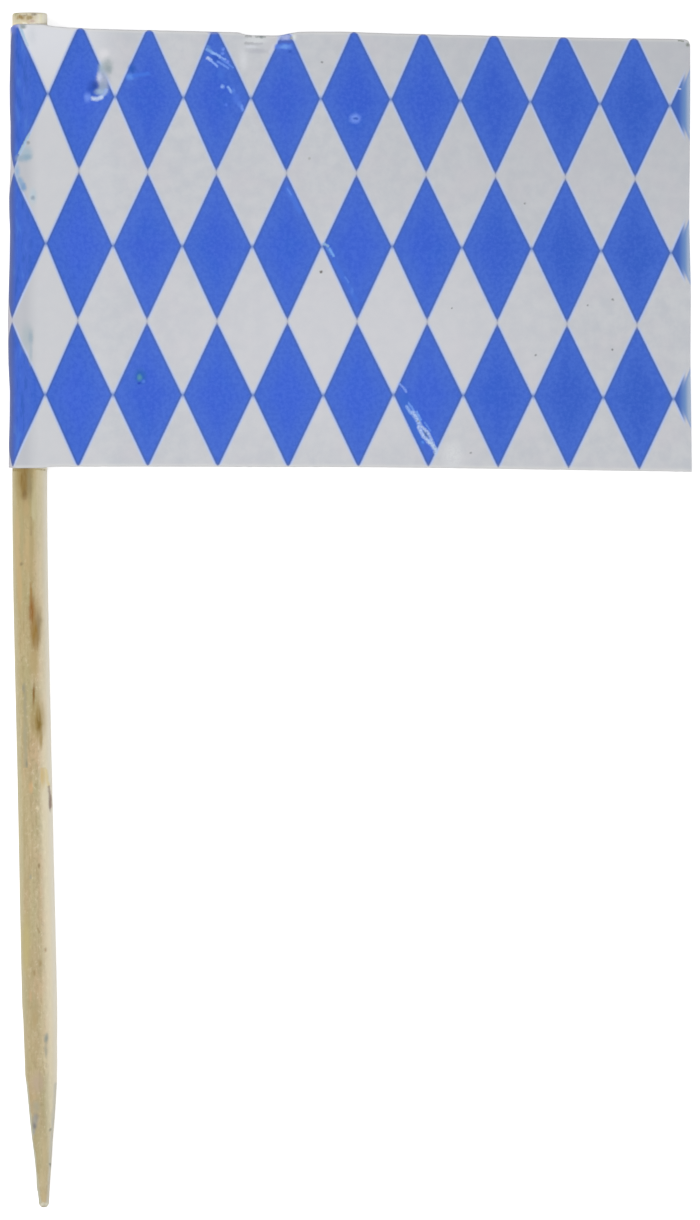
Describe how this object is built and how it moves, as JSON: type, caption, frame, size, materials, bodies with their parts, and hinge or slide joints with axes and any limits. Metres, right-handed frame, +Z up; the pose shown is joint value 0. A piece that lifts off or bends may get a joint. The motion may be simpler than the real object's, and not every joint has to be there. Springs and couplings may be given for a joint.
{
  "type": "party pick",
  "caption": "Sharpened wooden stick with a small paper flag folded and glued round its blunt end, printed with blue lozenges on white.",
  "frame": {"origin": "on the table under the middle of the outline, with the pick lying as it comes to rest", "axes": "+Y runs up the stick from its point to its blunt end, +X from the stick to the flag's free edge, +Z up out of the flag's front"},
  "size_m": [0.0456, 0.08, 0.0026],
  "materials": {
    "wood": "matte",
    "paper": "satin",
    "blue_ink": "satin",
    "glue": "gloss"
  },
  "bodies": {
    "root": {"stick": "wood", "flag_paper": "paper", "flag_print": "blue_ink", "flag_glue": "glue"}
  },
  "joints": []
}
